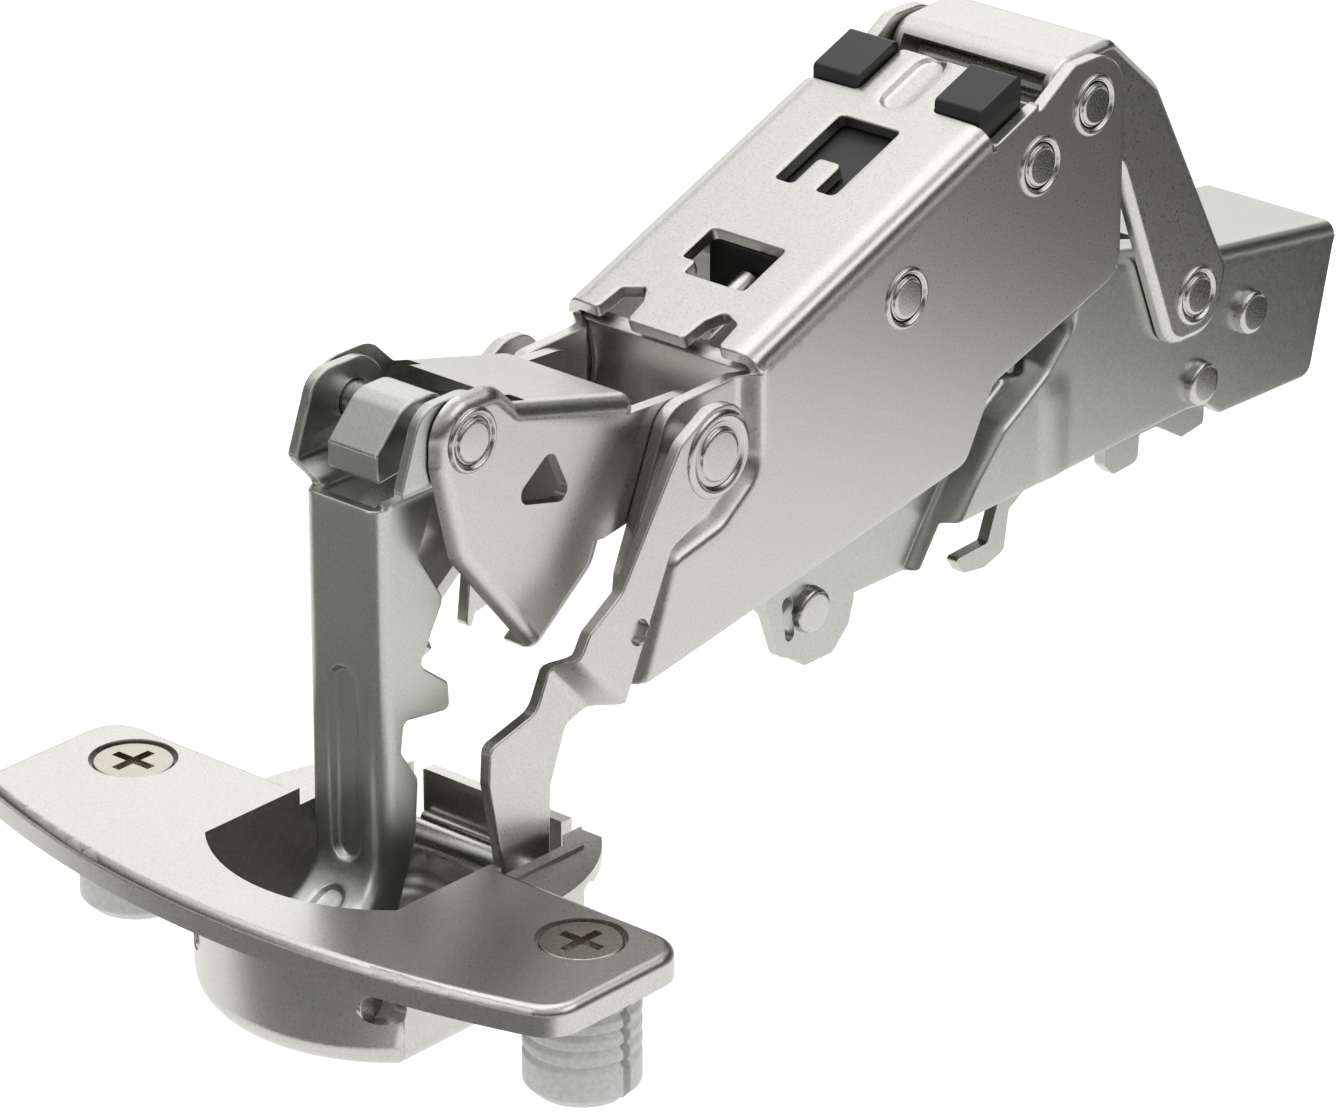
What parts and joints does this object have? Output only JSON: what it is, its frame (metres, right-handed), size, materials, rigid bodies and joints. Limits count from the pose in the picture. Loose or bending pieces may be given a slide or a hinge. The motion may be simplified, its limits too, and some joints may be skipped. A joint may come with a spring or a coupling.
{
  "type": "concealed cup hinge",
  "caption": "Wide-angle concealed cup hinge for a furniture door, with a round cup and flange, a folded steel arm on a chain of links, and a clip-on base.",
  "frame": {"origin": "on the axis of the cup, in the plane of the door face that the flange lies on", "axes": "+Z out of the door face on the side of the arm, +X back along the arm into the cabinet, +Y along the pivot pins; the hinge stands open at 90 degrees"},
  "size_m": [0.1431, 0.067, 0.0648],
  "materials": {
    "nickel_sheet": "nickel-plated sheet steel, satin with a fine grain",
    "zinc_sheet": "zinc-plated sheet steel, satin",
    "pin_steel": "bright turned steel",
    "screw_steel": "bright nickel-plated screw",
    "white_nylon": "white nylon",
    "grey_plastic": "dark grey moulded plastic"
  },
  "bodies": {
    "base": {"base_rail": "zinc_sheet", "rear_box": "nickel_sheet", "front_catch": "zinc_sheet", "front_catch_pin": "pin_steel", "base_rivets": "pin_steel", "inner_link_pin": "pin_steel", "rear_link_pin": "pin_steel"},
    "release_slide": {"rear_catch": "zinc_sheet"},
    "rear_link": {"rear_link": "nickel_sheet"},
    "inner_link": {"inner_link": "zinc_sheet"},
    "arm": {"arm": "nickel_sheet", "arm_front_pin": "pin_steel", "arm_rear_pin": "pin_steel", "arm_inner_pin": "pin_steel", "arm_rivet": "pin_steel", "damper_housing": "grey_plastic", "damper_rod": "pin_steel"},
    "main_link": {"main_link_left": "nickel_sheet", "main_link_right": "nickel_sheet"},
    "knee_link": {"knee_link": "nickel_sheet", "knee_pin_left": "pin_steel", "knee_pin_right": "pin_steel"},
    "cup": {"cup": "nickel_sheet", "cup_pin_front": "pin_steel", "cup_pin_rear": "pin_steel", "dowel_left": "white_nylon", "dowel_right": "white_nylon", "flange_screw_left": "screw_steel", "flange_screw_right": "screw_steel", "closing_spring": "pin_steel"},
    "front_link": {"front_link": "zinc_sheet", "knee_rod": "pin_steel", "knee_block": "zinc_sheet"}
  },
  "joints": [
    {"name": "rear_link_turn", "type": "hinge", "parent": "base", "child": "rear_link", "pos_m": [0.0974, 0, 0.0241], "axis": [0, 1, 0], "range_deg": [-37.5, 45]},
    {"name": "arm_turn", "type": "hinge", "parent": "rear_link", "child": "arm", "pos_m": [0.0795, 0, 0.048], "axis": [0, 1, 0], "range_deg": [-59, 49.25]},
    {"name": "inner_link_turn", "type": "hinge", "parent": "base", "child": "inner_link", "pos_m": [0.0879, 0, 0.0196], "axis": [0, 1, 0], "range_deg": [-38.3, 45.86]},
    {"name": "main_link_turn", "type": "hinge", "parent": "arm", "child": "main_link", "pos_m": [0.0272, 0, 0.0314], "axis": [0, 1, 0], "range_deg": [-45.5, 54.5]},
    {"name": "knee_link_turn", "type": "hinge", "parent": "arm", "child": "knee_link", "pos_m": [0.0272, 0, 0.0314], "axis": [0, 1, 0], "range_deg": [-72.5, 86.9]},
    {"name": "cup_turn", "type": "hinge", "parent": "main_link", "child": "cup", "pos_m": [0.0062, 0, -0.0016], "axis": [0, 1, 0], "range_deg": [-41.75, 50]},
    {"name": "front_link_turn", "type": "hinge", "parent": "cup", "child": "front_link", "pos_m": [-0.0134, 0, -0.0061], "axis": [0, 1, 0], "range_deg": [-40.1, 33.5]},
    {"name": "release_slide_pull", "type": "slide", "parent": "base", "child": "release_slide", "axis": [1, 0, 0], "range_m": [0, 0.0015], "stiffness_N_per_m": 600, "springref_m": -0.001}
  ],
  "couplings": [
    {"joint": "arm_turn", "follows": "rear_link_turn", "ratio": -1.3},
    {"joint": "inner_link_turn", "follows": "rear_link_turn", "ratio": 1.008},
    {"joint": "main_link_turn", "follows": "rear_link_turn", "ratio": 1.2},
    {"joint": "knee_link_turn", "follows": "rear_link_turn", "ratio": 1.92},
    {"joint": "cup_turn", "follows": "rear_link_turn", "ratio": 1.1},
    {"joint": "front_link_turn", "follows": "rear_link_turn", "ratio": -0.88}
  ]
}
